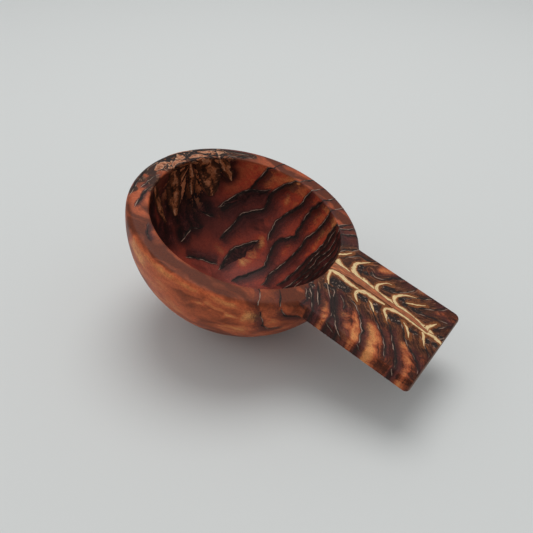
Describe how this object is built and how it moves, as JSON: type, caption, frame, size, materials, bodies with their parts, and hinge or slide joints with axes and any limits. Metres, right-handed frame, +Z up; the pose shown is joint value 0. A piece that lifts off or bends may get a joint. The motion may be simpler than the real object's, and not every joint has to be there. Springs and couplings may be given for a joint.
{
  "type": "coffee scoop",
  "caption": "Round-bottomed coffee scoop with a flat rim and a short flat handle, turned from a pine cone cast in amber resin, the cone's cut scales inlaid flush.",
  "frame": {"origin": "on the table under the scoop, midway between its two ends, at rest", "axes": "+X along the handle, from the bowl to the handle's end; +Z up from the table; the rim and the handle's top lean 16 degrees down towards +X, as the scoop balances on its round bottom"},
  "size_m": [0.0849, 0.061, 0.0386],
  "materials": {
    "resin": "satin polished amber-brown pearl resin",
    "pith": "sanded reddish pith",
    "cone_wood": "sanded cream wood",
    "scale": "sanded dark scale",
    "basal_scale": "sanded brown basal scale",
    "scale_tip": "sanded tan scale tip"
  },
  "bodies": {
    "root": {"basal_scale_1": "basal_scale", "basal_scale_2": "basal_scale", "basal_scale_3": "basal_scale", "basal_scale_4": "basal_scale", "basal_scale_5": "basal_scale", "cone_pith": "pith", "cone_wood": "cone_wood", "far_scale_1": "scale", "far_scale_2": "scale", "far_scale_3": "scale", "far_scale_4": "scale", "far_scale_5": "scale", "far_scale_6": "scale", "floor_scale_1": "scale", "floor_scale_2": "scale", "floor_scale_3": "scale", "floor_scale_4": "scale", "near_scale_1": "scale", "near_scale_2": "scale", "near_scale_3": "scale", "near_scale_4": "scale", "near_scale_5": "scale", "near_scale_6": "scale", "near_scale_7": "scale", "near_scale_8": "scale", "near_wall_scale_1": "scale", "near_wall_scale_2": "scale", "near_wall_scale_3": "scale", "near_wall_scale_4": "scale", "near_wall_scale_5": "scale", "resin_casting": "resin", "rim_scale_1": "scale", "rim_scale_2": "scale", "rim_scale_3": "scale", "rim_scale_4": "scale", "rim_scale_5": "scale", "rim_scale_6": "scale", "rosette_tip_1": "scale_tip", "rosette_tip_2": "scale_tip", "rosette_tip_3": "scale_tip", "rosette_tip_4": "scale_tip", "rosette_tip_5": "scale_tip", "wall_scale_1": "scale", "wall_scale_2": "scale", "wall_scale_3": "scale", "wall_scale_4": "scale", "wall_scale_5": "scale", "wall_scale_6": "scale", "wall_scale_7": "scale", "wall_scale_8": "scale"}
  },
  "joints": []
}
